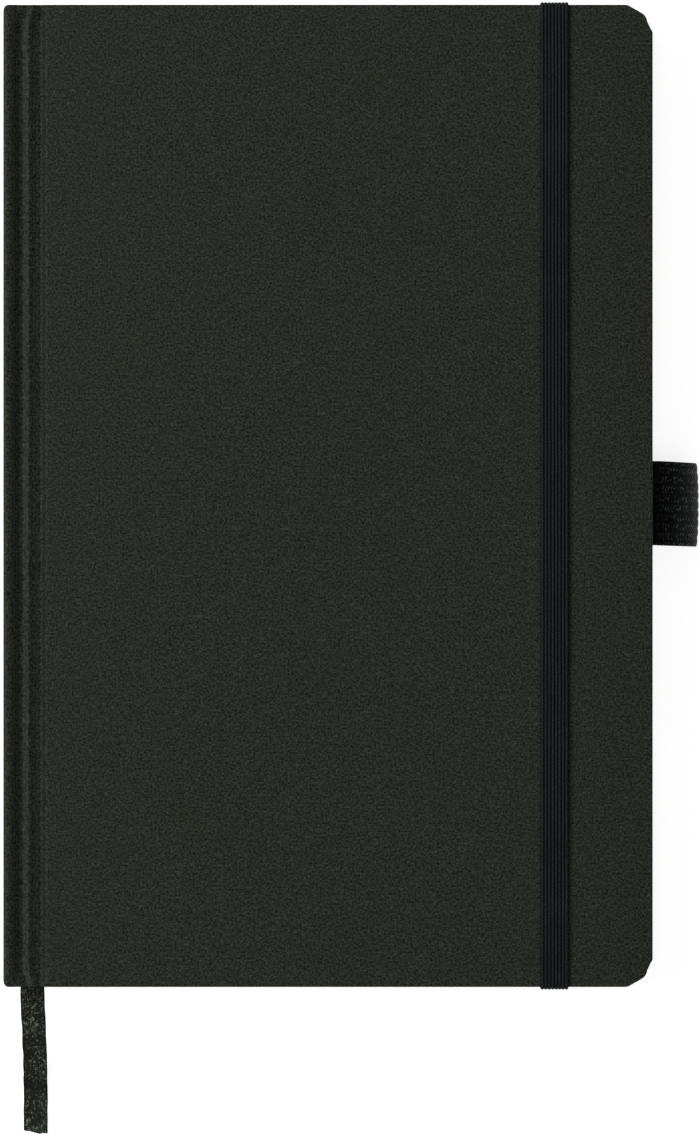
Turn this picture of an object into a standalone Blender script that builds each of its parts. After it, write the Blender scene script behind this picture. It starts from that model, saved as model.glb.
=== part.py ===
"""A case-bound notebook with an elastic closure, a pen loop and a ribbon marker.

It lies on its back cover: +X runs from the spine to the fore edge, +Y to the head, +Z to the
front cover. Lengths are in metres. Levels and stations named in_x are measured from the outer
face of the spine, and the origin is under the middle of the whole object's footprint.
"""

import math

import bmesh
import bpy
from mathutils import Vector

# The closed book
cover_width = 0.1402
cover_height = 0.212
corner_radius = 0.006
square_fore = 0.0035
square_ends = 0.003

# Thicknesses
wrap_thickness = 0.00025
board_thickness = 0.0018
spine_board_thickness = 0.0012
endpaper_thickness = 0.0002
section_thickness = 0.00065
ribbon_thickness = 0.00025
mull_thickness = 0.00025
lining_thickness = 0.0002
thread_diameter = 0.0003

# Gaps: a glue line between pasted layers, and room between pieces that part
glue = 0.0001
clearance = 0.0003
hollow = 0.0005

# Case and block
board_start = 0.009
turn_in = 0.015
pastedown_margin = 0.0033
sections_per_half = 6
block_corner_radius = 0.005
fold_radius = 0.00025
spine_edge_radius = 0.0005
lining_inset = 0.006
thread_stations = 4
thread_spread = 0.15

# Elastic closure
elastic_width = 0.006
elastic_thickness = 0.0009
elastic_from_fore = 0.0212
elastic_tab_length = 0.013
elastic_tab_thickness = 0.0008

# Pen loop
loop_width = 0.0177
loop_reach = 0.0095
loop_height = 0.0091
loop_thickness = 0.0007
loop_tab_length = 0.014
loop_off_centre = -0.00145

# Ribbon marker
ribbon_width = 0.0052
ribbon_from_spine = 0.0064
ribbon_tail_reach = 0.0318
ribbon_tail_drift = 0.0009
ribbon_drop_share = 0.78

# Levels of the closed book, from the table up
cover_stack = 2 * wrap_thickness + 3 * glue + board_thickness + endpaper_thickness
half_sections = sections_per_half * section_thickness + (sections_per_half - 1) * glue
block_bottom = cover_stack + clearance
sections_bottom = block_bottom + endpaper_thickness + glue
middle_height = sections_bottom + half_sections + glue + ribbon_thickness / 2
total_thickness = 2 * middle_height
wrap_inner = wrap_thickness + glue
board_top = wrap_inner + board_thickness
lip_bottom = board_top + glue
lip_top = lip_bottom + wrap_thickness
pastedown_bottom = lip_top + glue

# Stations of the spine, from its outer face inward
spine_board_inner = wrap_inner + spine_board_thickness
lining_start = spine_board_inner + hollow
mull_start = lining_start + lining_thickness + glue
thread_start = mull_start + mull_thickness + glue
block_start = thread_start + thread_diameter + glue
block_end = cover_width - square_fore
half_height = cover_height / 2
block_half = half_height - square_ends
elastic_middle = cover_width - elastic_from_fore
left = -(cover_width + loop_reach) / 2

notebook = bpy.data.collections.new("notebook")
cutters = bpy.data.collections.new("cutters")


def clear_scene():
    for old in list(bpy.data.objects):
        bpy.data.objects.remove(old, do_unlink=True)
    for collection in (notebook, cutters):
        bpy.context.scene.collection.children.link(collection)


def finish(name, colour, roughness, metallic=0.0):
    material = bpy.data.materials.new(name)
    material.use_nodes = True
    shader = material.node_tree.nodes["Principled BSDF"]
    shader.inputs["Base Color"].default_value = (*colour, 1.0)
    shader.inputs["Roughness"].default_value = roughness
    shader.inputs["Metallic"].default_value = metallic
    material.diffuse_color = (*colour, 1.0)
    return material


def add_object(name, bm, material, collection=None):
    """The bmesh as an object in the book's frame: its x is counted from the spine's outer face."""
    mesh = bpy.data.meshes.new(name)
    bmesh.ops.recalc_face_normals(bm, faces=bm.faces)
    bm.to_mesh(mesh)
    bm.free()
    part = bpy.data.objects.new(name, mesh)
    part.location = (left, 0, 0)
    (collection or notebook).objects.link(part)
    if material:
        mesh.materials.append(material)
    return part


def box_mesh(low, high):
    bm = bmesh.new()
    bmesh.ops.create_cube(bm, size=1.0)
    low, high = Vector(low), Vector(high)
    bmesh.ops.scale(bm, vec=high - low, verts=bm.verts)
    bmesh.ops.translate(bm, vec=(low + high) / 2, verts=bm.verts)
    return bm


def along(edge, axis):
    span = edge.verts[0].co - edge.verts[1].co
    return abs(abs(span[axis]) - span.length) < 1e-9


def round_edges(bm, edges, radius, segments):
    bmesh.ops.bevel(
        bm, geom=edges, offset=radius, segments=segments, profile=0.5, affect="EDGES", material=-1
    )


def fore_corners(bm, at_x, radius, segments=8):
    """Rounds the two upright edges at the fore edge of a slab."""
    edges = [e for e in bm.edges if along(e, 2) and abs(e.verts[0].co.x - at_x) < 1e-7]
    round_edges(bm, edges, radius, segments)


def leaf_slab(name, span_x, half_y, span_z, radius, material):
    """A flat sheet or board with square corners at the spine and round ones at the fore edge."""
    bm = box_mesh((span_x[0], -half_y, span_z[0]), (span_x[1], half_y, span_z[1]))
    if radius:
        fore_corners(bm, span_x[1], radius)
    return add_object(name, bm, material)


def cutter_slab(name, low, high, radius=0.0):
    bm = box_mesh(low, high)
    if radius:
        fore_corners(bm, high[0], radius)
    cutter = add_object(name, bm, None, cutters)
    cutter.hide_render = True
    cutter.display_type = "WIRE"
    return cutter


def cut(part, *tools):
    for tool in tools:
        modifier = part.modifiers.new(tool.name, "BOOLEAN")
        modifier.operation = "DIFFERENCE"
        modifier.solver = "EXACT"
        modifier.object = tool


def smooth_path(points, steps):
    """Points on the Catmull-Rom curve that passes through the given points."""
    padded = [points[0] * 2 - points[1], *points, points[-1] * 2 - points[-2]]
    path = []
    for before, start, end, after in zip(padded, padded[1:], padded[2:], padded[3:]):
        for step in range(steps):
            t = step / steps
            path.append(
                0.5
                * (
                    2 * start
                    + (end - before) * t
                    + (2 * before - 5 * start + 4 * end - after) * t**2
                    + (3 * start - before - 3 * end + after) * t**3
                )
            )
    path.append(points[-1])
    return path


def bent_strip(name, path, sweep, thickness, material):
    """A strip of cloth or webbing: the path swept sideways, thickened evenly on both sides."""
    bm = bmesh.new()
    verts = [bm.verts.new(p - Vector(sweep) / 2) for p in path]
    edges = [bm.edges.new(pair) for pair in zip(verts, verts[1:])]
    swept = bmesh.ops.extrude_edge_only(bm, edges=edges)["geom"]
    moved = [g for g in swept if isinstance(g, bmesh.types.BMVert)]
    bmesh.ops.translate(bm, vec=sweep, verts=moved)
    part = add_object(name, bm, material)
    solid = part.modifiers.new("thickness", "SOLIDIFY")
    solid.thickness = thickness
    solid.offset = 0.0
    solid.use_even_offset = True
    return part


def from_bottom(low, high, front):
    """A span of heights in the back cover, or the same span mirrored into the front cover."""
    if front:
        return total_thickness - high, total_thickness - low
    return low, high


def make_board(side, front, material):
    span_x = (board_start, cover_width - wrap_inner)
    span_z = from_bottom(wrap_inner, board_top, front)
    radius = corner_radius - wrap_inner
    return leaf_slab(f"{side}_board", span_x, half_height - wrap_inner, span_z, radius, material)


def make_wrap(side, front, material):
    """The covering over a board: its outer face, three edges, and the turn-ins on the inside."""
    span_z = from_bottom(0, lip_top, front)
    wrap = leaf_slab(
        f"{side}_wrap", (board_start, cover_width), half_height, span_z, corner_radius, material
    )
    past = board_start - turn_in
    pocket_z = from_bottom(wrap_thickness, lip_bottom, front)
    pocket_y = half_height - wrap_thickness
    pocket = cutter_slab(
        f"{side}_pocket_cutter",
        (past, -pocket_y, pocket_z[0]),
        (cover_width - wrap_thickness, pocket_y, pocket_z[1]),
        corner_radius - wrap_thickness,
    )
    window_z = from_bottom(lip_bottom - glue, lip_top + turn_in, front)
    window_y = half_height - turn_in
    window = cutter_slab(
        f"{side}_window_cutter",
        (past, -window_y, window_z[0]),
        (cover_width - turn_in, window_y, window_z[1]),
    )
    cut(wrap, pocket, window)
    return wrap


def make_pastedown(side, front, material):
    span_x = (board_start + clearance, cover_width - pastedown_margin)
    span_z = from_bottom(pastedown_bottom, cover_stack, front)
    half_y = half_height - pastedown_margin
    radius = corner_radius - pastedown_margin
    return leaf_slab(f"{side}_pastedown", span_x, half_y, span_z, radius, material)


def make_flyleaf(side, front, material):
    span_z = from_bottom(block_bottom, block_bottom + endpaper_thickness, front)
    span_x = (block_start, block_end)
    return leaf_slab(f"{side}_flyleaf", span_x, block_half, span_z, block_corner_radius, material)


def make_section(number, bottom, material):
    """One folded gathering of leaves, rounded along its fold."""
    top = bottom + section_thickness
    bm = box_mesh((block_start, -block_half, bottom), (block_end, block_half, top))
    folds = [e for e in bm.edges if along(e, 1) and abs(e.verts[0].co.x - block_start) < 1e-7]
    round_edges(bm, folds, fold_radius, 3)
    fore_corners(bm, block_end, block_corner_radius, 6)
    return add_object(f"section_{number:02d}", bm, material)


def make_block(material):
    pitch = section_thickness + glue
    for index in range(sections_per_half):
        rise = index * pitch
        make_section(2 * sections_per_half - index, sections_bottom + rise, material)
        top = total_thickness - sections_bottom - rise
        make_section(index + 1, top - section_thickness, material)


def make_spine(board_material, wrap_material):
    """The stiff spine panel: a board in a covering that turns in at the head and the tail."""
    low, high = clearance, total_thickness - clearance
    outer = box_mesh((0, -half_height, low), (spine_board_inner + wrap_inner, half_height, high))
    edges = [e for e in outer.edges if along(e, 1) and e.verts[0].co.x < 1e-7]
    round_edges(outer, edges, spine_edge_radius, 4)
    wrap = add_object("spine_wrap", outer, wrap_material)
    inner = half_height - wrap_thickness
    edge = low + wrap_thickness
    top = high - wrap_thickness
    pocket = cutter_slab(
        "spine_pocket_cutter",
        (wrap_thickness, -inner, edge),
        (spine_board_inner + glue, inner, top),
    )
    mouth = cutter_slab(
        "spine_mouth_cutter",
        (spine_board_inner, -half_height + turn_in, edge),
        (spine_board_inner + turn_in, half_height - turn_in, top),
    )
    cut(wrap, pocket, mouth)
    board_y = half_height - wrap_inner
    board = box_mesh((wrap_inner, -board_y, edge + glue), (spine_board_inner, board_y, top - glue))
    add_object("spine_board", board, board_material)


def make_joint(side, front, material):
    """The covering across the groove between the spine panel and a board, pressed into a valley."""
    start = spine_board_inner + wrap_inner + clearance + wrap_thickness / 2
    end = board_start - clearance
    middle = wrap_thickness / 2
    # share of the way from the spine to the board, and depth below the cover's outer face
    profile = ((0.0, 0.0008), (0.12, 0.0011), (0.42, 0.0006), (0.68, 0.0016), (0.86, 0.0013))
    points = [Vector((start + (end - start) * share, 0, depth + middle)) for share, depth in profile]
    points.append(Vector((end, 0, 0.0004 + middle)))
    if front:
        points = [Vector((p.x, 0, total_thickness - p.z)) for p in points]
    path = smooth_path(points, 3)
    return bent_strip(
        f"{side}_joint", path, (0, 2 * (half_height - clearance), 0), wrap_thickness, material
    )


def make_spine_linings(mull_material, paper_material, thread_material):
    """What holds the folds together: thread, gauze over it, and a paper lining over the gauze."""
    low, high = sections_bottom, total_thickness - sections_bottom
    half_y = block_half - lining_inset
    mull = box_mesh((mull_start, -half_y, low), (mull_start + mull_thickness, half_y, high))
    add_object("spine_mull", mull, mull_material)
    lining_end = lining_start + lining_thickness
    lining = box_mesh((lining_start, -block_half, low), (lining_end, block_half, high))
    add_object("spine_lining", lining, paper_material)
    radius = thread_diameter / 2
    for station in range(thread_stations):
        share = thread_spread + (1 - 2 * thread_spread) * station / (thread_stations - 1)
        bm = bmesh.new()
        bmesh.ops.create_cone(
            bm, cap_ends=True, segments=10, radius1=radius, radius2=radius, depth=high - low
        )
        place = (thread_start + radius, -block_half + 2 * block_half * share, middle_height)
        bmesh.ops.translate(bm, vec=place, verts=bm.verts)
        add_object(f"sewing_thread_{station + 1}", bm, thread_material)


def make_elastic(material):
    """The closure: a run across the front cover, and a turn round each end to a glued tab."""
    run_bottom = total_thickness + clearance
    run_middle = run_bottom + elastic_thickness / 2
    side_y = half_height + clearance + elastic_thickness / 2
    bend = elastic_thickness
    half_x = elastic_width / 2
    turn_start = side_y - bend - clearance
    run_end = turn_start - glue
    bm = box_mesh(
        (elastic_middle - half_x, -run_end, run_bottom),
        (elastic_middle + half_x, run_end, run_bottom + elastic_thickness),
    )
    add_object("elastic_strand", bm, material)
    tab_middle = lip_top - elastic_tab_thickness / 2
    for name, sign in (("elastic_head_turn", 1), ("elastic_tail_turn", -1)):
        stations = [(turn_start, run_middle)]
        stations += [
            (
                side_y - bend * (1 - math.sin(angle)),
                run_middle - bend * (1 - math.cos(angle)),
            )
            for angle in (0, math.pi / 6, math.pi / 3, math.pi / 2)
        ]
        stations += [
            (
                side_y - bend * (1 - math.cos(angle)),
                tab_middle + bend * (1 - math.sin(angle)),
            )
            for angle in (0, math.pi / 6, math.pi / 3, math.pi / 2)
        ]
        stations.append((half_height - elastic_tab_length, tab_middle))
        path = [Vector((elastic_middle, sign * y, z)) for y, z in stations]
        bent_strip(name, path, (elastic_width, 0, 0), elastic_tab_thickness, material)


def make_pen_loop(material):
    """A strap folded into an eye beyond the fore edge, its two ends pasted under the endpaper."""
    layer = loop_thickness / 2
    upper = lip_top - layer
    lower = upper - loop_thickness - glue / 2
    tab_end = cover_width - loop_tab_length
    edge = cover_width
    outer = cover_width + loop_reach - layer
    inner = cover_width + clearance + layer * 2
    low = clearance + layer
    high = low + loop_height - loop_thickness
    middle = (low + high) / 2
    reach = (outer + inner) / 2
    route = (
        (tab_end, lower),
        (edge - 0.004, lower),
        (edge + clearance, lower),
        (edge + 0.0023, lower - (lower - low) * 0.7),
        (reach, low),
        (outer - 0.0012, low + (middle - low) * 0.35),
        (outer, middle),
        (outer - 0.0014, high - (high - middle) * 0.3),
        (reach, high),
        (inner + 0.0008, high - (high - middle) * 0.35),
        (inner + 0.0002, middle),
        (inner, upper + (middle - upper) * 0.42),
        (edge - 0.0012, upper + layer * 0.3),
        (edge - 0.004, upper),
        (tab_end, upper),
    )
    path = smooth_path([Vector((x, loop_off_centre, z)) for x, z in route], 4)
    bent_strip("pen_loop", path, (0, loop_width, 0), loop_thickness, material)


def seat_straps(board, wrap):
    """Pressed seats in the back board and its covering for the ends of the straps."""
    room = clearance / 2
    half_x = elastic_width / 2 + clearance
    floor = lip_top - elastic_tab_thickness - room
    for name, sign in (("head_seat_cutter", 1), ("tail_seat_cutter", -1)):
        ends = sorted(
            (sign * (half_height - elastic_tab_length - clearance), sign * (half_height + turn_in))
        )
        seat = cutter_slab(
            name,
            (elastic_middle - half_x, ends[0], floor),
            (elastic_middle + half_x, ends[1], lip_top + room),
        )
        cut(board, seat)
        cut(wrap, seat)
    loop_floor = lip_top - 2 * loop_thickness - glue - room
    half_y = loop_width / 2 + clearance
    seat = cutter_slab(
        "loop_seat_cutter",
        (cover_width - loop_tab_length - clearance, loop_off_centre - half_y, loop_floor),
        (cover_width + turn_in, loop_off_centre + half_y, lip_top + room),
    )
    cut(board, seat)
    cut(wrap, seat)


def make_ribbon(material):
    """The marker: flat in the middle opening, then a free tail that drops to the table."""
    half_x = ribbon_width / 2
    inner = leaf_slab(
        "ribbon_marker",
        (ribbon_from_spine - half_x, ribbon_from_spine + half_x),
        half_height - clearance / 2,
        (middle_height - ribbon_thickness / 2, middle_height + ribbon_thickness / 2),
        0,
        material,
    )
    rest = ribbon_thickness / 2 + glue
    steps = 16
    path = []
    for step in range(steps + 1):
        share = step / steps
        fall = min(1.0, share / ribbon_drop_share)
        height = rest + (middle_height - rest) * (1 - fall * fall * (3 - 2 * fall))
        drift = ribbon_tail_drift * share * share
        reach = half_height + clearance / 2 + ribbon_tail_reach * share
        path.append(Vector((ribbon_from_spine + drift, -reach, height)))
    bent_strip("ribbon_tail", path, (ribbon_width, 0, 0), ribbon_thickness, material)
    return inner


def main():
    clear_scene()
    board_grey = finish("greyboard", (0.36, 0.33, 0.29), 0.9)
    wrap_green = finish("cover_paper", (0.02, 0.026, 0.017), 0.6)
    paper = finish("page_paper", (0.82, 0.78, 0.66), 0.8)
    endpaper = finish("endpaper", (0.8, 0.76, 0.65), 0.75)
    cloth = finish("mull_gauze", (0.7, 0.68, 0.6), 0.95)
    thread = finish("thread", (0.85, 0.83, 0.78), 0.7)
    elastic = finish("elastic", (0.008, 0.009, 0.010), 0.65)
    webbing = finish("loop_webbing", (0.008, 0.009, 0.010), 0.7)
    satin = finish("ribbon_satin", (0.02, 0.024, 0.015), 0.5)

    for side, front in (("back", False), ("front", True)):
        board = make_board(side, front, board_grey)
        wrap = make_wrap(side, front, wrap_green)
        make_pastedown(side, front, endpaper)
        make_flyleaf(side, front, endpaper)
        make_joint(side, front, wrap_green)
        if not front:
            seat_straps(board, wrap)
    make_spine(board_grey, wrap_green)
    make_block(paper)
    make_spine_linings(cloth, paper, thread)
    make_ribbon(satin)
    make_elastic(elastic)
    make_pen_loop(webbing)


main()
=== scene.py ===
import math

import bmesh
import bpy
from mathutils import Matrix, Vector, noise


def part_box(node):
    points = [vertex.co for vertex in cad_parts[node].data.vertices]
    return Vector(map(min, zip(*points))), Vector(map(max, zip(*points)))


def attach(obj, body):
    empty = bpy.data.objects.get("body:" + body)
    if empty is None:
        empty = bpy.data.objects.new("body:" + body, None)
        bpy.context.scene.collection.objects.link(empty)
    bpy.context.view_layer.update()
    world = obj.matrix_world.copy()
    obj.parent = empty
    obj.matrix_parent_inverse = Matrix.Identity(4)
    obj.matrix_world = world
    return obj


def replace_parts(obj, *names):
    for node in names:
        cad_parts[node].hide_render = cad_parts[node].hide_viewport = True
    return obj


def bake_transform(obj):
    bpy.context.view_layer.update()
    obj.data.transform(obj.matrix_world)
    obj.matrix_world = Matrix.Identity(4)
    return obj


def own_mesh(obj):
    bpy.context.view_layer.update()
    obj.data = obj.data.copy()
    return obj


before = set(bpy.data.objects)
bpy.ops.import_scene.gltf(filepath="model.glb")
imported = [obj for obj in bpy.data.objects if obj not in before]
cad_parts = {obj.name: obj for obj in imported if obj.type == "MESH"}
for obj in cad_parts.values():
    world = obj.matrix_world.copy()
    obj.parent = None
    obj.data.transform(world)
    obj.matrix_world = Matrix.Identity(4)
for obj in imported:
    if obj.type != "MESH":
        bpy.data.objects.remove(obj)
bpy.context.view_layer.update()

# the closed book: spine on the left, lying on its back cover
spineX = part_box("spine_wrap")[0].x
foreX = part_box("front_wrap")[1].x
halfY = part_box("front_wrap")[1].y
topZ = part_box("front_wrap")[1].z
midZ = topZ / 2
print("frame loaded")


# ---------- shader nodes

class Wire:
    def __init__(self, shop, socket):
        self.shop = shop
        self.socket = socket

    def sum(self, operation, other, swapped=False):
        pair = (other, self) if swapped else (self, other)
        return self.shop.node("ShaderNodeMath", {"operation": operation}, {0: pair[0], 1: pair[1]})

    def __add__(self, other):
        return self.sum("ADD", other)

    def __radd__(self, other):
        return self.sum("ADD", other, True)

    def __sub__(self, other):
        return self.sum("SUBTRACT", other)

    def __rsub__(self, other):
        return self.sum("SUBTRACT", other, True)

    def __mul__(self, other):
        return self.sum("MULTIPLY", other)

    def __rmul__(self, other):
        return self.sum("MULTIPLY", other, True)

    def __truediv__(self, other):
        return self.sum("DIVIDE", other)

    def __pow__(self, other):
        return self.sum("POWER", other)

    def __gt__(self, other):
        return self.sum("GREATER_THAN", other)

    def __lt__(self, other):
        return self.sum("LESS_THAN", other)

    def sine(self):
        return self.shop.node("ShaderNodeMath", {"operation": "SINE"}, {0: self})

    def size(self):
        return self.shop.node("ShaderNodeMath", {"operation": "ABSOLUTE"}, {0: self})

    def part(self):
        return self.shop.node("ShaderNodeMath", {"operation": "FRACT"}, {0: self})

    def clamped(self):
        return self.shop.node("ShaderNodeClamp", {}, {"Value": self})


class Finish:
    def __init__(self, name, **sockets):
        self.material = bpy.data.materials.new(name)
        self.material.use_nodes = True
        self.tree = self.material.node_tree
        self.shader = self.tree.nodes["Principled BSDF"]
        self.feed(**sockets)

    def node(self, kind, settings, inputs, output=0):
        made = self.tree.nodes.new(kind)
        for setting, value in settings.items():
            if setting == "stops":
                self.fillRamp(made.color_ramp, value)
            else:
                setattr(made, setting, value)
        for socket, value in inputs.items():
            self.join(value, made.inputs[socket])
        return Wire(self, made.outputs[output])

    def fillRamp(self, ramp, stops):
        while len(ramp.elements) < len(stops):
            ramp.elements.new(0.5)
        for element, (place, colour) in zip(ramp.elements, stops):
            element.position = place
            element.color = (*colour, 1.0)

    def join(self, value, socket):
        if isinstance(value, Wire):
            self.tree.links.new(value.socket, socket)
        else:
            socket.default_value = value

    def feed(self, **sockets):
        for name, value in sockets.items():
            self.join(value, self.shader.inputs[name.replace("_", " ")])
        return self.material

    def place(self, scale=(1, 1, 1), turn=(0, 0, 0)):
        spot = self.node("ShaderNodeTexCoord", {}, {}, "Object")
        return self.node("ShaderNodeMapping", {}, {"Vector": spot, "Scale": scale, "Rotation": turn})

    def axis(self, letter):
        return self.node("ShaderNodeSeparateXYZ", {}, {"Vector": self.place()}, letter)

    def facing(self, letter):
        normal = self.node("ShaderNodeNewGeometry", {}, {}, "Normal")
        return self.node("ShaderNodeSeparateXYZ", {}, {"Vector": normal}, letter)

    def strap(self, letter):
        along = self.node("ShaderNodeUVMap", {"uv_map": "strap"}, {})
        return self.node("ShaderNodeSeparateXYZ", {}, {"Vector": along}, letter)

    def noise(self, scale, detail=3.0, roughness=0.5, stretch=(1, 1, 1), turn=(0, 0, 0)):
        return self.node(
            "ShaderNodeTexNoise", {},
            {"Vector": self.place(stretch, turn), "Scale": scale, "Detail": detail, "Roughness": roughness},
        )

    def cells(self, scale, stretch=(1, 1, 1)):
        return self.node("ShaderNodeTexVoronoi", {}, {"Vector": self.place(stretch), "Scale": scale})

    def ramp(self, value, stops):
        return self.node("ShaderNodeValToRGB", {"stops": stops}, {"Fac": value})

    def mixed(self, share, first, second, blend="MIX"):
        settings = {"data_type": "RGBA", "blend_type": blend}
        return self.node("ShaderNodeMix", settings, {"Factor": share, 6: first, 7: second}, 2)

    def bumps(self, height, distance, strength=1.0):
        return self.node(
            "ShaderNodeBump", {}, {"Height": height, "Distance": distance, "Strength": strength}
        )


def shade(colour, factor):
    return tuple(min(1.0, part * factor) for part in colour)


def grey(level):
    return (level, level, level)


# ---------- finishes

coverLook = {
    "colour": (0.0400, 0.0500, 0.0325),
    "warm": (0.0420, 0.0485, 0.0290),
    "cool": (0.0388, 0.0505, 0.0365),
    "hair": (0.075, 0.098, 0.082, 1.0),
    "mottle": 2300,
    "relief": 0.00008,
}


def coverPaper():
    look = coverLook
    finish = Finish("cover_paper", Specular_IOR_Level=0.16)
    clouds = finish.noise(45, 4.0, 0.62)
    tint = finish.ramp(clouds, [(0.34, look["warm"]), (0.50, look["colour"]), (0.66, look["cool"])])
    mottle = finish.noise(look["mottle"], 2.5, 0.62)
    tone = finish.ramp(mottle, [(0.36, grey(0.03)), (0.5, grey(0.49)), (0.64, grey(1.0))])
    base = finish.mixed(1.0, tint, tone, "MULTIPLY")
    specks = ((finish.noise(1600, 2.0, 0.6, (1, 1, 1), (0.3, 0.2, 0.7)) - 0.60) * 6.0).clamped()
    base = finish.mixed(specks * 0.6, base, look["hair"])
    hairs = 0.0
    for turn, stretch in ((0.5, (300, 2000, 400)), (1.45, (340, 2200, 400)), (2.5, (280, 1900, 400))):
        strand = finish.noise(1.0, 2.0, 0.6, stretch, (0, 0, turn))
        hairs = ((strand - 0.67) * 9.0).clamped() + hairs
    hairs = hairs.clamped()
    base = finish.mixed(hairs * 0.4, base, look["hair"])
    roughness = 0.54 + finish.noise(90, 4.0, 0.6) * 0.14
    relief = mottle * 0.8 + specks * 0.4 + hairs * 0.25
    return finish.feed(
        Base_Color=base, Roughness=roughness, Normal=finish.bumps(relief, look["relief"], 0.8)
    )


def greyboard():
    finish = Finish("greyboard", Roughness=0.92)
    pulp = finish.noise(900, 4.0, 0.7)
    base = finish.ramp(
        pulp, [(0.3, (0.20, 0.185, 0.16)), (0.55, (0.33, 0.31, 0.27)), (0.75, (0.42, 0.40, 0.36))]
    )
    return finish.feed(Base_Color=base, Normal=finish.bumps(pulp, 0.00008, 0.8))


pageLook = {
    "colour": (0.80, 0.755, 0.63),
    "rule": (0.50, 0.52, 0.52, 1.0),
    "ruleGap": 0.007,
    "leaf": 0.00009,
}


def pagePaper():
    # fine leaf lines on the cut edges, painted shade in the gaps between leaves, and pale ruling on the flat faces
    look = pageLook
    finish = Finish("page_paper", Roughness=0.84)
    flat = finish.facing("Z").size() > 0.7
    fibre = finish.noise(700, 4.0, 0.65)
    face = finish.ramp(fibre, [(0.3, shade(look["colour"], 0.965)), (0.7, shade(look["colour"], 1.02))])
    along = finish.axis("Y")
    rule = (((along / look["ruleGap"]).part() - 0.5).size() < 0.017) * (along.size() < 0.092)
    face = finish.mixed(rule * 0.55, face, look["rule"])
    leaves = finish.noise(1.0, 2.5, 0.7, (9, 9, 1 / look["leaf"]))
    # painted shade between the leaves on the cut edges
    edge = finish.ramp(leaves, [
        (0.34, shade(look["colour"], 0.45)), (0.5, shade(look["colour"], 0.86)), (0.68, look["colour"]),
    ])
    base = finish.mixed(flat, edge, face)
    height = leaves * (1.0 - flat) + fibre * flat * 0.12
    return finish.feed(Base_Color=base, Normal=finish.bumps(height, 0.00006, 0.8))


def endPaper():
    finish = Finish("endpaper", Roughness=0.8)
    fibre = finish.noise(520, 5.0, 0.7)
    clouds = finish.noise(40, 3.0, 0.6)
    base = finish.ramp(
        fibre * 0.7 + clouds * 0.3,
        [(0.35, (0.74, 0.70, 0.585)), (0.52, (0.785, 0.745, 0.635)), (0.66, (0.81, 0.775, 0.67))],
    )
    return finish.feed(Base_Color=base, Normal=finish.bumps(fibre, 0.00003, 0.7))


def gauze():
    finish = Finish("mull_gauze", Roughness=0.95)
    warp = (finish.axis("Y") * (math.tau / 0.0009)).sine()
    weft = (finish.axis("Z") * (math.tau / 0.0009)).sine()
    weave = warp * 0.3 + weft * 0.2 + 0.5
    base = finish.ramp(
        weave, [(0.2, (0.30, 0.28, 0.23)), (0.6, (0.62, 0.60, 0.52)), (0.9, (0.74, 0.72, 0.64))]
    )
    return finish.feed(Base_Color=base, Normal=finish.bumps(weave, 0.0001, 0.8))


def waxedThread():
    finish = Finish("waxed_thread", Roughness=0.6)
    twist = (finish.axis("Z") * (math.tau / 0.0006) + finish.axis("Y") * 9000).sine() * 0.5 + 0.5
    base = finish.ramp(twist, [(0.1, (0.55, 0.53, 0.48)), (0.8, (0.84, 0.82, 0.77))])
    return finish.feed(Base_Color=base, Normal=finish.bumps(twist, 0.00005, 0.7))


bandSize = {
    "cords": 8,
    "width": 0.0060,
    "thick": 0.00082,
    "turnThick": 0.6,         # share of that where it is drawn tight round the edges
    "arcSteps": 6,
    "arcFrom": 16,            # degrees above the seam between two cords
    "gap": 0.00006,           # clear of the covers
    "bend": 0.0008,
    "tab": 0.0130,
    "tabZ": 0.0021,
    "step": 0.0015,
    "wander": 0.00004,
}


def braidedElastic():
    # fine yarn wound round each cord breaks the light into small slanting beads, bumped and also painted into the
    # colour as light and shade
    finish = Finish("braided_elastic", Specular_IOR_Level=0.14)
    beads = finish.strap("Y") * (math.tau / 0.00052) + finish.strap("X") * (math.tau / 0.0011)
    beads = beads.sine() * 0.5 + 0.5
    wander = finish.noise(240, 3.0, 0.6, (1, 0.35, 1))
    fuzz = finish.noise(2600, 2.0, 0.6)
    # painted shade darkens the colour at the seams between the cords
    seam = ((finish.strap("X") / (bandSize["width"] / bandSize["cords"])).part() - 0.5).size() * 2.0
    level = (beads * 0.26 + wander * 0.30 + fuzz * 0.55) * (1.0 - seam ** 3.0 * 0.75)
    base = finish.ramp(level, [
        (0.25, (0.0006, 0.0008, 0.0010)), (0.50, (0.0040, 0.0052, 0.0062)), (0.78, (0.0340, 0.0430, 0.0490)),
    ])
    relief = beads * 0.7 + fuzz * 0.5
    return finish.feed(
        Base_Color=base, Roughness=0.45 + wander * 0.25, Normal=finish.bumps(relief, 0.00005, 0.8)
    )


holderSize = {
    "width": 0.0183,
    "middleY": -0.00145,
    "sheet": 0.0007,
    "wales": 9,
    "swell": 0.00016,
    "reach": 0.0103,
    "taper": 0.0001,          # how much narrower each side is at its far turn
    "sag": 0.00045,           # and how far it leans towards the tail
    "crown": 0.0004,
    "stitch": 0.00063,
    "lean": 0.85,
}


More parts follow.
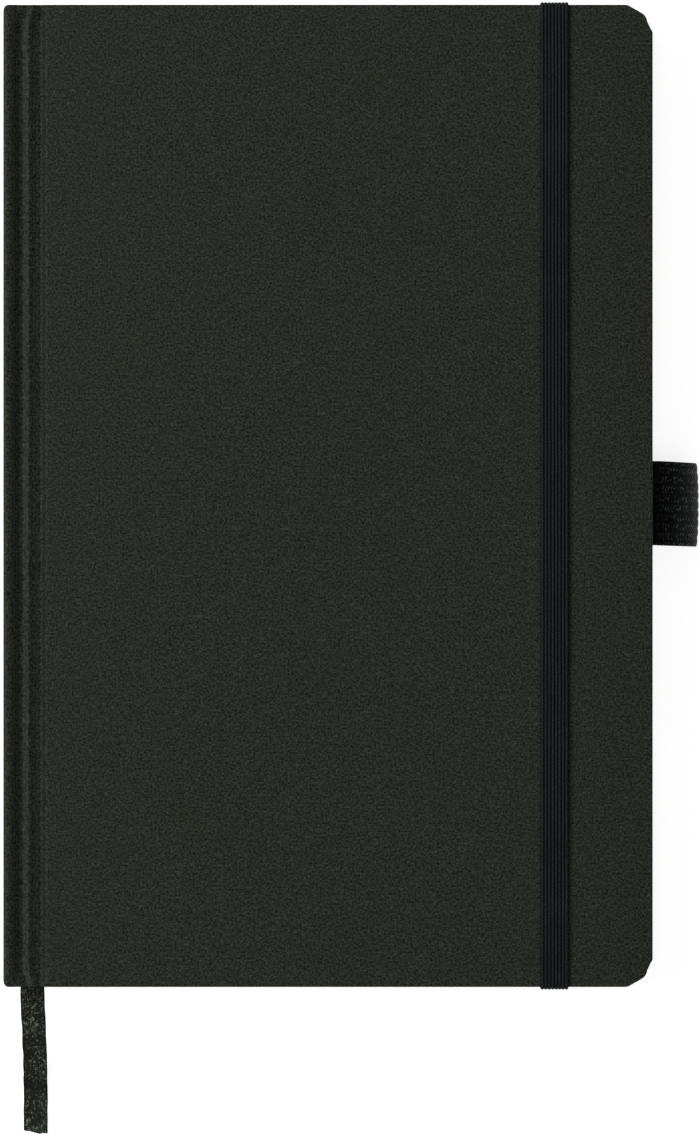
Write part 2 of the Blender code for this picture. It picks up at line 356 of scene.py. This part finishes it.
def holderWebbing():
    # wales side by side, each a column of chevrons, whose lit yarn peaks are painted into the colour as well as bumped
    look = holderSize
    finish = Finish("holder_webbing", Specular_IOR_Level=0.12)
    wale = finish.strap("X") / (look["width"] / look["wales"])
    arm = (wale.part() - 0.5).size() * 2.0
    chevron = (finish.strap("Y") / look["stitch"] + arm * look["lean"]).part()
    yarn = (1.0 - (chevron - 0.5).size() * 2.0) ** 1.3
    # painted shade towards the edges of each wale
    crest = 1.0 - arm ** 4.0 * 0.9
    fuzz = finish.noise(2200, 3.0, 0.65)
    # painted glints: random sparkle brightened into the colour
    glint = ((finish.noise(1300, 2.0, 0.6) - 0.40) * 4.0).clamped()
    level = yarn * crest * (glint * 0.75 + 0.30) + fuzz * 0.15
    base = finish.ramp(level, [
        (0.18, (0.0058, 0.0066, 0.0072)), (0.50, (0.0098, 0.0122, 0.0127)), (0.85, (0.185, 0.228, 0.219)),
    ])
    return finish.feed(
        Base_Color=base, Roughness=0.42 + fuzz * 0.3, Normal=finish.bumps(yarn * crest, 0.00022, 1.0)
    )


def ribbonSatin():
    # slubby floats catch the light in short flecks and tufts, painted as highlights in the colour, and the selvedge
    # lies darker
    finish = Finish("ribbon_satin", Specular_IOR_Level=0.2)
    warp = (finish.strap("X") * (math.tau / 0.00042)).sine() * 0.5 + 0.5
    weft = (finish.strap("Y") * (math.tau / 0.00050) + finish.strap("X") * 2600).sine() * 0.5 + 0.5
    flecks = ((finish.noise(2500, 2.0, 0.65, (1, 0.5, 1)) - 0.51) * 6.0).clamped()
    tufts = (0.42 - finish.cells(2600, (1, 0.55, 1))).clamped() * 2.0
    patches = ((finish.noise(150, 2.0, 0.5) - 0.34) * 3.5).clamped()
    level = (flecks * 0.55 + tufts * 0.55 + warp * 0.10 + weft * 0.14) * (patches * 0.45 + 0.60)
    selvedge = finish.strap("X").size() > 0.00235
    level = level * (1.0 - selvedge * 0.85)
    base = finish.ramp(level, [
        (0.05, (0.0040, 0.0044, 0.0034)), (0.28, (0.0160, 0.0195, 0.0135)), (0.60, (0.190, 0.230, 0.155)),
    ])
    relief = flecks * 0.6 + tufts * 0.3 + weft * 0.2
    return finish.feed(
        Base_Color=base, Roughness=0.5 + patches * 0.2, Normal=finish.bumps(relief, 0.00012, 0.9)
    )


coverFinish = coverPaper()
boardFinish = greyboard()
pageFinish = pagePaper()
endFinish = endPaper()
gauzeFinish = gauze()
threadFinish = waxedThread()
elasticFinish = braidedElastic()
holderFinish = holderWebbing()
ribbonFinish = ribbonSatin()
print("finishes mixed")


# ---------- shaping

def finished(name, bm, finish, sharp=40, body=None):
    mesh = bpy.data.meshes.new(name)
    bm.to_mesh(mesh)
    bm.free()
    piece = bpy.data.objects.new(name, mesh)
    bpy.context.scene.collection.objects.link(piece)
    mesh.materials.append(finish)
    smoothed(piece, sharp)
    if body:
        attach(piece, body)
    return piece


def smoothed(piece, sharp):
    piece.data.shade_smooth()
    piece.data.set_sharp_from_angle(angle=math.radians(sharp))


def eased(share):
    share = min(1.0, max(0.0, share))
    return share * share * (3 - 2 * share)


def between(place, table):
    for (low, first), (high, second) in zip(table, table[1:]):
        if place <= high:
            return first + (second - first) * eased((place - low) / (high - low))
    return table[-1][1]


def rounded(points, steps):
    points = [Vector(point) for point in points]
    padded = [points[0] * 2 - points[1], *points, points[-1] * 2 - points[-2]]
    path = []
    for before, start, end, after in zip(padded, padded[1:], padded[2:], padded[3:]):
        for step in range(steps):
            t = step / steps
            bend = (2 * before - 5 * start + 4 * end - after) * t ** 2
            swing = (3 * start - before - 3 * end + after) * t ** 3
            path.append((2 * start + (end - before) * t + bend + swing) / 2)
    return [*path, points[-1]]


def grownRow(bm, rim):
    # one more row of faces on the rim: its new edges, and each new vertex with the one it grew from
    grown = bmesh.ops.extrude_edge_only(bm, edges=rim)["geom"]
    fresh = {g for g in grown if isinstance(g, bmesh.types.BMVert)}
    edges = [g for g in grown if isinstance(g, bmesh.types.BMEdge) and set(g.verts) <= fresh]
    origin = {}
    for v in fresh:
        for e in v.link_edges:
            if e.other_vert(v) not in fresh:
                origin[v] = e.other_vert(v)
    return edges, origin


def sweptStrap(bm, outline, path, across, thinned=None):
    # a flat strap's outline (across, height) carried along a path, with its lengths in a UV map
    across = Vector(across)
    first = [bm.verts.new((0, 0, 0)) for _ in outline]
    rim = [bm.edges.new((a, b)) for a, b in zip(first, [*first[1:], first[0]])]
    inOutline = {v: spot for v, spot in zip(first, outline)}
    measured = {}
    along = 0.0
    ends = [rim]
    for index, point in enumerate(path):
        if index:
            rim, origin = grownRow(bm, rim)
            inOutline = {v: inOutline[old] for v, old in origin.items()}
            along += (point - path[index - 1]).length
        tangent = (path[min(index + 1, len(path) - 1)] - path[max(index - 1, 0)]).normalized()
        outward = across.cross(tangent).normalized()
        thick = thinned(point) if thinned else 1.0
        for v, (side, height) in inOutline.items():
            v.co = point + across * side + outward * height * thick
            measured[v] = (side, along)
    ends.append(rim)
    for end in ends:
        bmesh.ops.holes_fill(bm, edges=end, sides=0)
    bmesh.ops.recalc_face_normals(bm, faces=bm.faces)
    lengths = bm.loops.layers.uv.new("strap")
    for face in bm.faces:
        for loop in face.loops:
            loop[lengths].uv = measured[loop.vert]
    return measured


wrapSize = {
    "grooveEnd": 0.0100,      # from the spine's outer face, where the flat of the board begins
    "corner": 0.0060,
    "cornerSteps": 20,
    "edgeRound": 0.00042,
    "edgeSteps": 4,
    "turnIn": 0.0050,
    "sheet": 0.00022,
    "bendFrom": 0.0005,
    "bendTo": 0.0036,
    "endDepth": 0.42,         # share of the groove's depth left at head and tail
    "endFade": 0.0036,
    "endSwing": 0.0012,       # how far the small ridge leans towards the board there
    "spineCorner": 0.0012,
    "endCuts": (0.0048, 0.0042, 0.0036, 0.0031, 0.0026, 0.0021, 0.0017, 0.0013, 0.0009),
    "step": 0.0002,
}

# the fore corners are folded in flats: degrees from the fore edge, and the share of the radius there
cornerFlats = [
    (-1, 1.0), (3, 0.972), (11, 0.920), (20, 0.898), (26, 0.893), (31, 0.922), (42, 0.943), (54, 0.918),
    (66, 0.914), (76, 0.945), (84, 0.993), (90, 1.0),
]

# from the spine's outer face: how far the outer face lies below the flat of the board
grooveDepth = [
    (0.0, 0.00105), (0.00012, 0.00062), (0.0004, 0.00034), (0.0008, 0.00024), (0.0012, 0.00027),
    (0.0017, 0.00044), (0.0023, 0.00082), (0.0029, 0.00136), (0.0035, 0.00186), (0.0041, 0.00205),
    (0.0046, 0.00186), (0.0051, 0.00149), (0.0055, 0.00139), (0.0059, 0.00156), (0.0065, 0.00190),
    (0.0072, 0.00216), (0.0080, 0.00230), (0.0084, 0.00218), (0.0087, 0.00150), (0.0089, 0.00070),
    (0.0091, 0.00013), (0.0094, 0.00002), (0.0100, 0.0),
]

# and how thick its folded edge is at head and tail
foldDepth = [(0.0016, 0.0005), (0.0024, 0.00062), (0.0086, 0.00062), (0.0093, 0.0025), (0.0100, 0.0025)]


def grooveStations():
    stations = []
    x = wrapSize["grooveEnd"]
    while x > 0.0016:
        x -= wrapSize["step"]
        stations.append((x, between(x, grooveDepth)))
    for x in (0.0013, 0.0010, 0.0007, 0.0005, 0.00035, 0.0002, 0.0001, 0.0):
        stations.append((x, between(x, grooveDepth)))
    for share in (0.12, 0.35, 0.68, 1.0):
        stations.append((0.0, grooveDepth[0][1] + (midZ - grooveDepth[0][1]) * share))
    return stations


def grooveAt(x, y):
    # the groove fades towards head and tail, and its small ridge leans over to the board
    near = halfY - abs(y)
    kept = wrapSize["endDepth"] + (1 - wrapSize["endDepth"]) * eased(near / wrapSize["endFade"])
    swing = wrapSize["endSwing"] * (1 - eased(near / wrapSize["endFade"])) * eased((x - 0.0028) / 0.0015)
    swing *= 1 - eased((x - 0.0066) / 0.0020)
    kept += (1 - kept) * (1 - eased((x - 0.0012) / 0.0008))
    return between(x - swing, grooveDepth) * kept


def spineCorner(x, y):
    # the plan is rounded off where the spine meets head and tail
    radius = wrapSize["spineCorner"]
    short = radius - math.sqrt(max(0.0, radius ** 2 - max(0.0, radius - x) ** 2))
    share = max(0.0, (abs(y) - halfY + 0.003) / 0.003)
    return y - math.copysign(short * share, y)


def foldCorners(bm):
    radius = wrapSize["corner"]
    for v in bm.verts:
        out = Vector((v.co.x - foreX + radius, abs(v.co.y) - halfY + radius))
        if out.x > 0 and out.y > 0:
            out *= between(math.degrees(math.atan2(out.y, out.x)), cornerFlats)
            v.co.x = foreX - radius + out.x
            v.co.y = math.copysign(halfY - radius + out.y, v.co.y)


def coveringSheet(name, front):
    size = wrapSize
    startX = spineX + size["grooveEnd"]
    wall = foldDepth[-1][1]
    low = Vector((startX, -halfY, topZ - wall))
    high = Vector((foreX, halfY, topZ))
    bm = bmesh.new()
    bmesh.ops.create_cube(bm, size=1.0)
    bmesh.ops.scale(bm, vec=high - low, verts=bm.verts)
    bmesh.ops.translate(bm, vec=(high + low) / 2, verts=bm.verts)
    bmesh.ops.delete(
        bm, geom=[f for f in bm.faces if f.calc_center_median().x < startX + 1e-6], context="FACES"
    )
    uprights = [e for e in bm.edges if len(e.link_faces) == 2 and abs(e.verts[0].co.z - e.verts[1].co.z) > 1e-4]
    bmesh.ops.bevel(
        bm, geom=uprights, offset=size["corner"], segments=size["cornerSteps"], profile=0.5,
        affect="EDGES", material=-1,
    )
    rims = [
        e for e in bm.edges
        if len(e.link_faces) == 2 and e.calc_face_angle() > 1.0 and abs(e.verts[0].co.z - e.verts[1].co.z) < 1e-6
    ]
    bmesh.ops.bevel(
        bm, geom=rims, offset=size["edgeRound"], segments=size["edgeSteps"], profile=0.5,
        affect="EDGES", material=-1,
    )
    under = [f for f in bm.faces if f.calc_area() > 0.01 and f.calc_center_median().z < topZ - wall / 2]
    bmesh.ops.inset_region(bm, faces=under, thickness=size["turnIn"], use_boundary=False, use_even_offset=True)
    bmesh.ops.delete(bm, geom=under, context="FACES")
    foldCorners(bm)
    cuts = [((0, (halfY - end) * side, 0), (0, 1, 0)) for end in size["endCuts"] for side in (1, -1)]
    cuts += [((x, 0, 0), (1, 0, 0)) for x in (-0.04, -0.01, 0.02, 0.045)]
    for middle, direction in cuts:
        bmesh.ops.bisect_plane(
            bm, geom=[*bm.verts, *bm.edges, *bm.faces], plane_co=middle, plane_no=direction
        )
    # the open side is grown across the groove and round to the middle of the spine
    rim = [e for e in bm.edges if len(e.link_faces) == 1 and all(abs(v.co.x - startX) < 1e-6 for v in e.verts)]
    section = {v: (v.co.y, (topZ - v.co.z) / wall) for e in rim for v in e.verts}
    stations = grooveStations()
    previous = (size["grooveEnd"], 0.0)
    for index, (x, depth) in enumerate(stations):
        rim, origin = grownRow(bm, rim)
        section = {v: section[old] for v, old in origin.items()}
        following = stations[min(index + 1, len(stations) - 1)]
        inward = Vector((0, -1))
        if x < 0.0016:
            heading = Vector((following[0] - previous[0], previous[1] - following[1])).normalized()
            inward = Vector((-heading.y, heading.x))
        fold = between(x, foldDepth)
        for v, (y, share) in section.items():
            z = topZ - (grooveAt(x, y) if x > 0 else depth)
            v.co = (spineX + x + inward.x * fold * share, spineCorner(x, y), z + inward.y * fold * share)
        previous = (x, depth)
    bmesh.ops.recalc_face_normals(bm, faces=bm.faces)
    flat = max(bm.faces, key=lambda f: f.calc_area())
    if flat.normal.z < 0:
        bmesh.ops.reverse_faces(bm, faces=bm.faces)
    if not front:
        bmesh.ops.scale(bm, vec=(1, 1, -1), verts=bm.verts)
        bmesh.ops.translate(bm, vec=(0, 0, topZ), verts=bm.verts)
        bmesh.ops.reverse_faces(bm, faces=bm.faces)
    piece = finished(name, bm, coverFinish, 50)
    paper = piece.modifiers.new("paper", "SOLIDIFY")
    paper.thickness = size["sheet"]
    paper.offset = -1.0
    settled(piece)
    smoothed(piece, 50)
    return piece


def settled(piece):
    # the modifiers' result kept as the piece's own mesh
    shaped = bpy.data.meshes.new_from_object(piece.evaluated_get(bpy.context.evaluated_depsgraph_get()))
    piece.modifiers.clear()
    piece.data = shaped


frontCovering = coveringSheet("front_covering", True)
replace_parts(frontCovering, "front_wrap", "front_joint", "spine_wrap")
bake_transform(frontCovering)

backCovering = coveringSheet("back_covering", False)
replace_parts(backCovering, "back_wrap", "back_joint")
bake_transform(backCovering)
print("coverings folded")


inlaySize = {"from": 0.00028, "thick": 0.0006, "inset": 0.0011, "round": 0.00025, "short": 0.0054}


def spineInlay():
    size = inlaySize
    bm = bmesh.new()
    bmesh.ops.create_cube(bm, size=1.0)
    tall = topZ - size["inset"] * 2
    bmesh.ops.scale(bm, vec=(size["thick"], (halfY - size["short"]) * 2, tall), verts=bm.verts)
    bmesh.ops.translate(bm, vec=(spineX + size["from"] + size["thick"] / 2, 0, midZ), verts=bm.verts)
    bmesh.ops.bevel(
        bm, geom=bm.edges[:], offset=size["round"], segments=3, profile=0.5, affect="EDGES", material=-1
    )
    return finished("spine_inlay", bm, boardFinish, 60, "spine")


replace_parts(spineInlay(), "spine_board")

boardSize = {"corner": 0.0075, "cornerSteps": 8, "round": 0.00015, "start": 0.0004}


def innerBoard(name, node, body):
    size = boardSize
    low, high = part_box(node)
    low.x += size["start"]
    bm = bmesh.new()
    bmesh.ops.create_cube(bm, size=1.0)
    bmesh.ops.scale(bm, vec=high - low, verts=bm.verts)
    bmesh.ops.translate(bm, vec=(high + low) / 2, verts=bm.verts)
    corners = [
        e for e in bm.edges
        if abs(e.verts[0].co.z - e.verts[1].co.z) > 1e-4 and e.verts[0].co.x > high.x - 1e-6
    ]
    bmesh.ops.bevel(
        bm, geom=corners, offset=size["corner"], segments=size["cornerSteps"], profile=0.5,
        affect="EDGES", material=-1,
    )
    rims = [e for e in bm.edges if e.calc_face_angle() > 1.0 and abs(e.verts[0].co.z - e.verts[1].co.z) < 1e-6]
    bmesh.ops.bevel(
        bm, geom=rims, offset=size["round"], segments=2, profile=0.5, affect="EDGES", material=-1
    )
    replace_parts(finished(name, bm, boardFinish, 40, body), node)


innerBoard("front_inner_board", "front_board", "front_cover")
innerBoard("back_inner_board", "back_board", "back_cover")


# ---------- the parts behind the spine, cut across in rows where the leaves part

def bentCopy(node, name, finish):
    bm = bmesh.new()
    bm.from_mesh(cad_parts[node].data)
    bmesh.ops.remove_doubles(bm, verts=bm.verts, dist=1e-6)
    for step in range(-5, 6):
        bmesh.ops.bisect_plane(
            bm, geom=[*bm.verts, *bm.edges, *bm.faces], plane_co=(0, 0, midZ + step * 0.00025), plane_no=(0, 0, 1)
        )
    piece = finished(name, bm, finish)
    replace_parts(piece, node)
    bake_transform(piece)


bentCopy("spine_mull", "spine_gauze", gauzeFinish)
bentCopy("spine_lining", "lining_paper", endFinish)
for number in range(1, 5):
    bentCopy(f"sewing_thread_{number}", f"sewing_{number}", threadFinish)
print("spine lined and sewn")


# ---------- closure

def cordOutline(size):
    pitch = size["width"] / size["cords"]
    over = []
    for cord in range(size["cords"]):
        middle = -size["width"] / 2 + pitch * (cord + 0.5)
        for step in range(size["arcSteps"] + 1):
            angle = math.radians(180 - size["arcFrom"] - (180 - 2 * size["arcFrom"]) * step / size["arcSteps"])
            reach = pitch / 2 / math.cos(math.radians(size["arcFrom"]))
            over.append((middle + reach * math.cos(angle) * 0.985, size["thick"] / 2 * math.sin(angle)))
    return over + [(side, -height) for side, height in reversed(over)]


def bandPath(size):
    runZ = topZ + size["gap"] + size["thick"] / 2
    sideY = halfY + size["gap"] + size["thick"] * size["turnThick"] / 2
    bend = size["bend"]
    half = [Vector((0, halfY - size["tab"], size["tabZ"])), Vector((0, halfY - 0.006, size["tabZ"]))]
    for angle in (0, 22, 45, 67, 90):
        turn = math.radians(angle)
        half.append(Vector((0, sideY - bend + bend * math.sin(turn), size["tabZ"] + bend - bend * math.cos(turn))))
    half += [Vector((0, sideY, size["tabZ"] + bend + (runZ - size["tabZ"] - 2 * bend) * s)) for s in (0.25, 0.5, 0.75)]
    for angle in (0, 22, 45, 67, 90):
        turn = math.radians(angle)
        half.append(Vector((0, sideY - bend + bend * math.cos(turn), runZ - bend + bend * math.sin(turn))))
    flat = sideY - bend
    count = round(flat * 2 / size["step"])
    run = [Vector((0, flat - flat * 2 * step / count, runZ)) for step in range(1, count)]
    tail = [Vector((0, -point.y, point.z)) for point in reversed(half)]
    return half + run + tail


elasticX = (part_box("elastic_strand")[0].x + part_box("elastic_strand")[1].x) / 2


def elasticBand():
    size = bandSize
    bm = bmesh.new()
    path = [point + Vector((elasticX, 0, 0)) for point in bandPath(size)]
    sweptStrap(
        bm, cordOutline(size), path, (1, 0, 0),
        lambda point: 1 - (1 - size["turnThick"]) * eased((abs(point.y) - halfY + 0.0015) / 0.0015),
    )
    for v in bm.verts:
        lean = noise.noise(Vector((v.co.x * 900, v.co.y * 160, v.co.z * 160)))
        drift = noise.noise(Vector((3.0, v.co.y * 14, v.co.z * 30)))
        v.co.x += lean * size["wander"] + drift * size["wander"] * 2
    return finished("elastic_band", bm, elasticFinish, 70, "back_cover")


band = elasticBand()
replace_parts(band, "elastic_strand", "elastic_head_turn", "elastic_tail_turn")
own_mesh(band)
print("closure drawn round")


# ---------- pen holder

def holderPath():
    # a strap from under the board, round the barrel of a pen and back, seen from the tail
    width = foreX - spineX
    lower, upper = 0.0014, 0.00215
    low, high = 0.00065, 0.00905
    outer, inner = width + 0.00995, width + 0.0010
    middle, reach = (low + high) / 2, (outer + inner) / 2
    route = (
        (width - 0.014, lower), (width - 0.004, lower), (width + 0.0003, lower),
        (width + 0.0023, lower - (lower - low) * 0.7), (reach, low),
        (outer - 0.0012, low + (middle - low) * 0.35), (outer, middle),
        (outer - 0.0014, high - (high - middle) * 0.3), (reach, high),
        (inner + 0.0008, high - (high - middle) * 0.35), (inner + 0.0002, middle),
        (inner, upper + (middle - upper) * 0.42), (width - 0.0012, upper + 0.00012),
        (width - 0.004, upper), (width - 0.014, upper),
    )
    return [Vector((spineX, holderSize["middleY"], 0)) + p for p in rounded([(x, 0, z) for x, z in route], 5)]


def penHolder():
    size = holderSize
    pitch = size["width"] / size["wales"]
    over = []
    for wale in range(size["wales"]):
        for step in range(6):
            share = step / 6
            swell = size["swell"] * (math.sin(math.pi * share) ** 0.6)
            over.append((-size["width"] / 2 + pitch * (wale + share), size["sheet"] / 2 - size["swell"] + swell))
    over.append((size["width"] / 2, size["sheet"] / 2 - size["swell"]))
    outline = over + [(side, -height) for side, height in reversed(over)]
    bm = bmesh.new()
    sweptStrap(bm, outline, holderPath(), (0, 1, 0))
    for v in bm.verts:
        out = max(0.0, (v.co.x - foreX) / size["reach"])
        side = (v.co.y - size["middleY"]) / (size["width"] / 2)
        v.co.y -= (side * size["taper"] + size["sag"]) * out
        v.co.x -= size["crown"] * out * abs(side) ** 3
    return finished("pen_holder", bm, holderFinish, 70, "back_cover")


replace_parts(penHolder(), "pen_loop")
print("pen holder wound")


# ---------- ribbon

ribbonSize = {
    "width": 0.0052,
    "thick": 0.00025,
    "middle": 0.0064,         # from the spine's outer face
    "drop": 0.0325,
    "startShift": -0.00033,
    "drift": 0.00042,
    "wave": 0.00012,
    "rest": 0.000225,
}


def ribbonPath():
    size = ribbonSize
    middle = (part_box("ribbon_marker")[0].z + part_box("ribbon_marker")[1].z) / 2
    path = []
    for step in range(33):
        share = step / 32
        height = size["rest"] + (middle - size["rest"]) * (1 - eased(share / 0.78))
        x = spineX + size["middle"] + size["startShift"] + size["drift"] * eased(share / 0.6)
        path.append(Vector((x, -halfY - 0.00015 - size["drop"] * share, height)))
    return path


def ribbonOutline():
    spots = [-0.5, -0.47, -0.44, -0.3, -0.15, 0.0, 0.15, 0.3, 0.44, 0.47, 0.5]
    over = []
    for spot in spots:
        thick = ribbonSize["thick"] / 2 * (1.0 if abs(spot) > 0.43 else 0.72)
        over.append((spot * ribbonSize["width"], thick))
    return over + [(side, -height) for side, height in reversed(over)]


def ribbonRun():
    # the length between the leaves, which slants a little to meet the end outside
    low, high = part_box("ribbon_marker")
    path = []
    for step in range(49):
        share = step / 48
        x = (low.x + high.x) / 2 + ribbonSize["startShift"] * share
        path.append(Vector((x, high.y + (low.y - high.y) * share, (low.z + high.z) / 2)))
    bm = bmesh.new()
    sweptStrap(bm, ribbonOutline(), path, (1, 0, 0))
    return finished("ribbon_run", bm, ribbonFinish, 40, "back_cover")


def ribbonEnd():
    size = ribbonSize
    bm = bmesh.new()
    path = ribbonPath()
    sweptStrap(bm, ribbonOutline(), path, (1, 0, 0))
    cut = path[-1]
    for v in bm.verts:
        side = (v.co.x - cut.x) / size["width"]
        v.co.x += noise.noise(Vector((7.0 * round(side), v.co.y * 420, 1.5))) * size["wave"]
        if v.co.y < cut.y + 0.00005:
            ragged = noise.noise(Vector((side * 9.0, 0.5, 0.0))) * 0.0005
            v.co.y += 0.0004 - side * 0.0007 + ragged + abs(side * 2) ** 6 * 0.0004
    piece = finished("ribbon_end", bm, ribbonFinish, 40, "back_cover")
    return piece, path


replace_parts(ribbonRun(), "ribbon_marker")
ribbonTail, ribbonRoute = ribbonEnd()
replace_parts(ribbonTail, "ribbon_tail")
print("ribbon laid")


# ---------- carried-over parts

nodeFinishes = {}
for cover in ("front", "back"):
    nodeFinishes[f"{cover}_pastedown"] = endFinish
    nodeFinishes[f"{cover}_flyleaf"] = endFinish
for number in range(1, 13):
    nodeFinishes[f"section_{number:02d}"] = pageFinish
for node, finish in nodeFinishes.items():
    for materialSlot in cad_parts[node].material_slots:
        materialSlot.material = finish


# ---------- floor, light and camera

studio = {
    "floorColour": 0.80,
    "floorGlow": 0.80,
    "key": ((-1.25, 0.35, 1.15), 1.1, 24.0),
    "fill": ((1.2, -0.5, 1.5), 1.2, 5.0),
    "world": 0.16,
}


def floor():
    bm = bmesh.new()
    bmesh.ops.create_grid(bm, x_segments=4, y_segments=4, size=3.0)
    bmesh.ops.translate(bm, vec=(0, 0, -0.0001), verts=bm.verts)
    mesh = bpy.data.meshes.new("floor")
    bm.to_mesh(mesh)
    bm.free()
    plane = bpy.data.objects.new("floor", mesh)
    bpy.context.scene.collection.objects.link(plane)
    finish = Finish("floor", Roughness=0.9, Emission_Strength=1.0)
    finish.feed(Base_Color=(*grey(studio["floorColour"]), 1.0), Specular_IOR_Level=0.0)
    seen = finish.node("ShaderNodeLightPath", {}, {}, "Is Camera Ray")
    seen = seen + finish.node("ShaderNodeLightPath", {}, {}, "Is Glossy Ray")
    seen = seen + finish.node("ShaderNodeLightPath", {}, {}, "Is Transmission Ray")
    glow = finish.ramp(seen.clamped(), [(0.0, grey(0.0)), (1.0, grey(studio["floorGlow"]))])
    mesh.materials.append(finish.feed(Emission_Color=glow))


def lamp(name, place, width, power):
    light = bpy.data.lights.new(name, "AREA")
    light.shape = "SQUARE"
    light.size = width
    light.energy = power
    made = bpy.data.objects.new(name, light)
    made.location = place
    made.rotation_euler = (Vector((0, 0, 0)) - Vector(place)).to_track_quat("-Z", "Y").to_euler()
    bpy.context.scene.collection.objects.link(made)


floor()
for name in ("key", "fill"):
    lamp(name, *studio[name])

world = bpy.data.worlds.new("studio")
world.use_nodes = True
world.node_tree.nodes["Background"].inputs["Color"].default_value = (1.0, 1.0, 1.0, 1.0)
world.node_tree.nodes["Background"].inputs["Strength"].default_value = studio["world"]
bpy.context.scene.world = world

view = {"middle": (0.0, -0.01546), "distance": 2.0, "tall": 0.2449, "sensor": 24.0}
lens = bpy.data.cameras.new("camera")
lens.sensor_fit = "VERTICAL"
lens.sensor_height = view["sensor"]
lens.lens = view["sensor"] * view["distance"] / view["tall"]
camera = bpy.data.objects.new("camera", lens)
camera.location = (*view["middle"], topZ + view["distance"])
bpy.context.scene.collection.objects.link(camera)
bpy.context.scene.camera = camera
bpy.context.scene.view_settings.view_transform = "Standard"
print("studio set")
